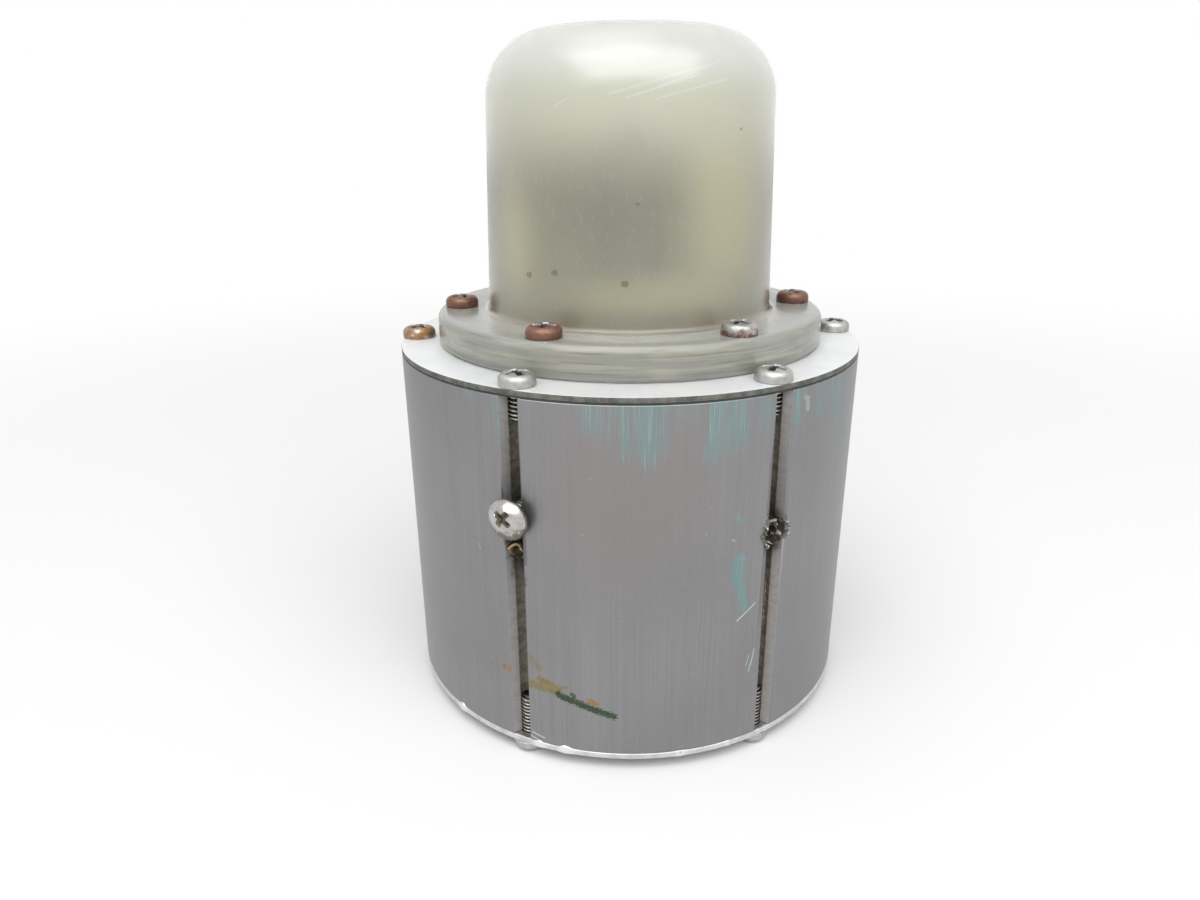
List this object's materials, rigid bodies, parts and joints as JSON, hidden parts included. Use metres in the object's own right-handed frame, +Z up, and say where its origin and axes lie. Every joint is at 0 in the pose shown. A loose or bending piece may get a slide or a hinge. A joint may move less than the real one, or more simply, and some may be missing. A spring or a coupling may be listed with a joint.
{
  "type": "strobe beacon",
  "caption": "Round self-contained strobe beacon with an extruded aluminium case, a flanged clear dome and a plug-in flash tube over a hung power supply.",
  "frame": {"origin": "on the beacon's axis, in the plane of the base screws' heads that it stands on", "axes": "+Z up along the axis towards the dome's top; -Y is the front, +X runs through a screw channel"},
  "size_m": [0.0956, 0.0952, 0.1337],
  "materials": {
    "tube_alloy": "satin extruded, scuffed",
    "plate_alloy": "matt, rolled sheet",
    "base_alloy": "bright, burred edge",
    "zinc_steel": "dull zinc plate",
    "rusty_steel": "zinc plate gone to brown rust",
    "bright_steel": "bright, worn",
    "old_brass": "dull, sheared",
    "dome_plastic": "clear, yellowed and hazed",
    "black_rubber": "matt",
    "pale_gasket": "grey, translucent",
    "phenolic": "brown moulding",
    "pale_ceramic": "matt, off-white",
    "clear_glass": "clear",
    "dark_metal": "oxidised",
    "tinned_wire": "tinned",
    "contact_brass": "plain",
    "board_laminate": "amber laminate",
    "lead_sleeve": "red sleeve",
    "capacitor_sleeve": "blue shrink sleeve",
    "clamp_alloy": "bare strip",
    "core_ferrite": "sintered, matt",
    "bobbin_nylon": "natural nylon",
    "winding_tape": "yellow tape",
    "sink_alloy": "black anodised",
    "transistor_epoxy": "moulded",
    "coil_wax": "waxed",
    "film_case": "dipped red",
    "resistor_body": "lacquered",
    "block_plastic": "moulded green"
  },
  "bodies": {
    "case": {"body_tube": "tube_alloy", "base_plate": "base_alloy", "base_screws": "zinc_steel", "cable_grommet": "black_rubber", "screw_stub": "old_brass"},
    "works": {"top_plate": "plate_alloy", "cover_gasket": "black_rubber", "plate_screws": "zinc_steel", "clinch_nuts": "zinc_steel", "insulator_disc": "phenolic", "lamp_socket": "phenolic", "socket_contacts": "contact_brass", "socket_screws": "zinc_steel", "socket_nuts": "zinc_steel", "board_standoffs": "contact_brass", "board_screws": "zinc_steel", "circuit_board": "board_laminate", "lamp_leads": "lead_sleeve", "storage_capacitor": "capacitor_sleeve", "capacitor_clamp": "clamp_alloy", "transformer_core": "core_ferrite", "transformer_bobbin": "bobbin_nylon", "transformer_winding": "winding_tape", "transformer_strap": "clamp_alloy", "heat_sink": "sink_alloy", "power_transistor": "transistor_epoxy", "transistor_screw": "zinc_steel", "trigger_coil": "coil_wax", "trigger_capacitor": "film_case", "rectifier_diodes": "transistor_epoxy", "resistors": "resistor_body", "terminal_block": "block_plastic"},
    "dome": {"dome_lens": "dome_plastic", "dome_gasket": "pale_gasket", "dome_screws": "rusty_steel"},
    "lamp": {"tube_base": "pale_ceramic", "tube_pins": "contact_brass", "flash_tube": "clear_glass", "tube_electrodes": "dark_metal", "trigger_wire": "tinned_wire"},
    "side_screw": {"side_screw": "bright_steel"}
  },
  "joints": [
    {"name": "works_lift", "type": "slide", "parent": "case", "child": "works", "axis": [0, 0, 1], "range_m": [0, 0.06]},
    {"name": "dome_lift", "type": "slide", "parent": "works", "child": "dome", "axis": [0, 0, 1], "range_m": [0, 0.056]},
    {"name": "tube_unplug", "type": "slide", "parent": "works", "child": "lamp", "axis": [0, 0, 1], "range_m": [0, 0.009]},
    {"name": "side_screw_out", "type": "slide", "parent": "case", "child": "side_screw", "axis": [-0.5, -0.866, 0], "range_m": [-0.0012, 0.011]}
  ]
}
